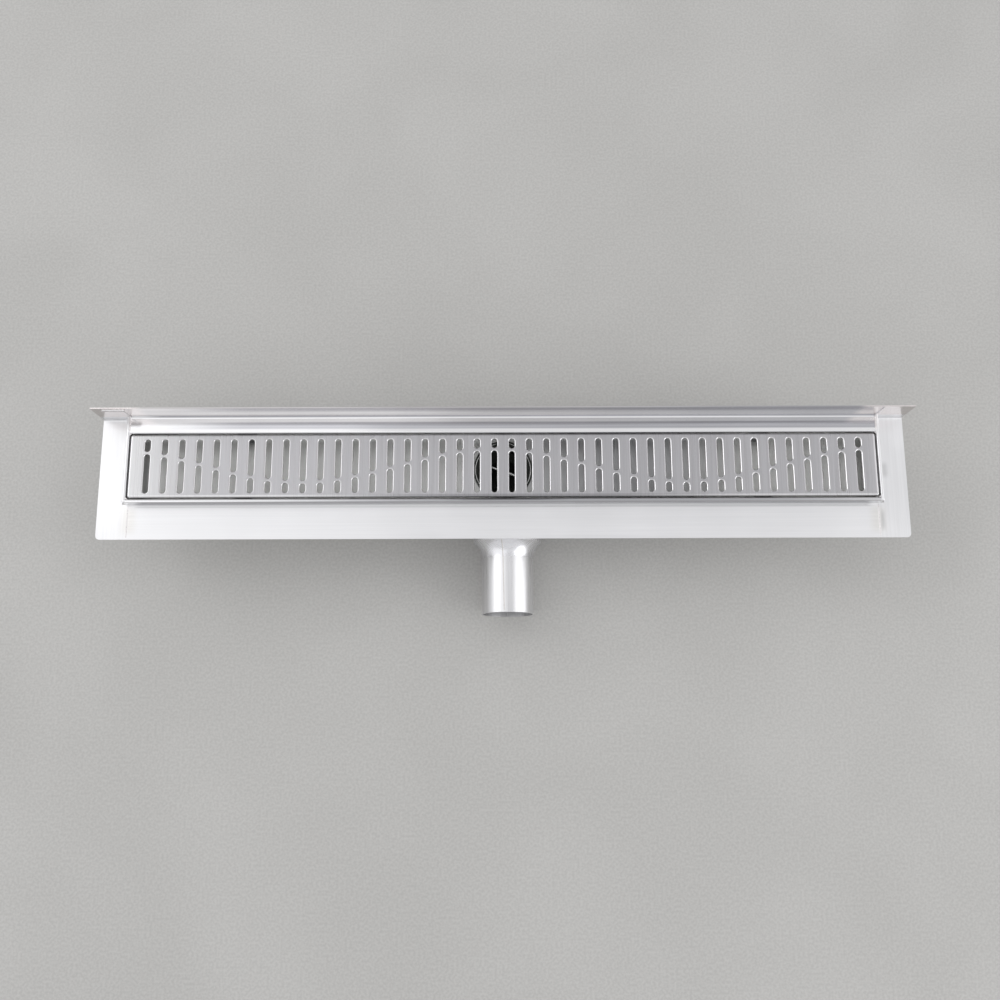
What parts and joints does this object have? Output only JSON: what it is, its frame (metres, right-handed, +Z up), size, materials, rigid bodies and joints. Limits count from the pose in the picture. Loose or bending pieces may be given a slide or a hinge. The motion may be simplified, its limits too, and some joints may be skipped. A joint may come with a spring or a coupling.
{
  "type": "channel drain",
  "caption": "Wall-type linear shower drain: folded steel channel with wall upstand, slotted grate, odour trap and round pot with a horizontal outlet.",
  "frame": {"origin": "centre of the pot's underside, on the axis of the pot and the trap, below the middle of the grate", "axes": "+X along the channel, +Y towards the wall and the upstand, +Z up; the outlet points to -Y"},
  "size_m": [0.76, 0.1829, 0.12],
  "materials": {
    "channel_sheet": "mill finish stainless sheet, faint grain along the channel",
    "end_sheet": "mill finish stainless sheet with ground welds",
    "grate_steel": "stainless plate brushed across its width",
    "rest_steel": "plain stainless strip",
    "pot_steel": "drawn stainless, satin",
    "pipe_steel": "welded stainless pipe, bright",
    "trap_plastic": "moulded grey-green plastic",
    "seal_rubber": "black rubber",
    "handle_steel": "bright stainless rod"
  },
  "bodies": {
    "root": {"channel_body": "channel_sheet", "end_plate_left": "end_sheet", "end_plate_right": "end_sheet", "grate": "grate_steel", "grate_rest_front_left": "rest_steel", "grate_rest_front_right": "rest_steel", "grate_rest_back_left": "rest_steel", "grate_rest_back_right": "rest_steel", "pot_lid": "pot_steel", "pot_body": "pot_steel", "outlet_stub": "pipe_steel", "trap_inlet": "trap_plastic", "trap_cup": "trap_plastic", "trap_seal_ring": "seal_rubber", "trap_handle": "handle_steel"}
  },
  "joints": []
}
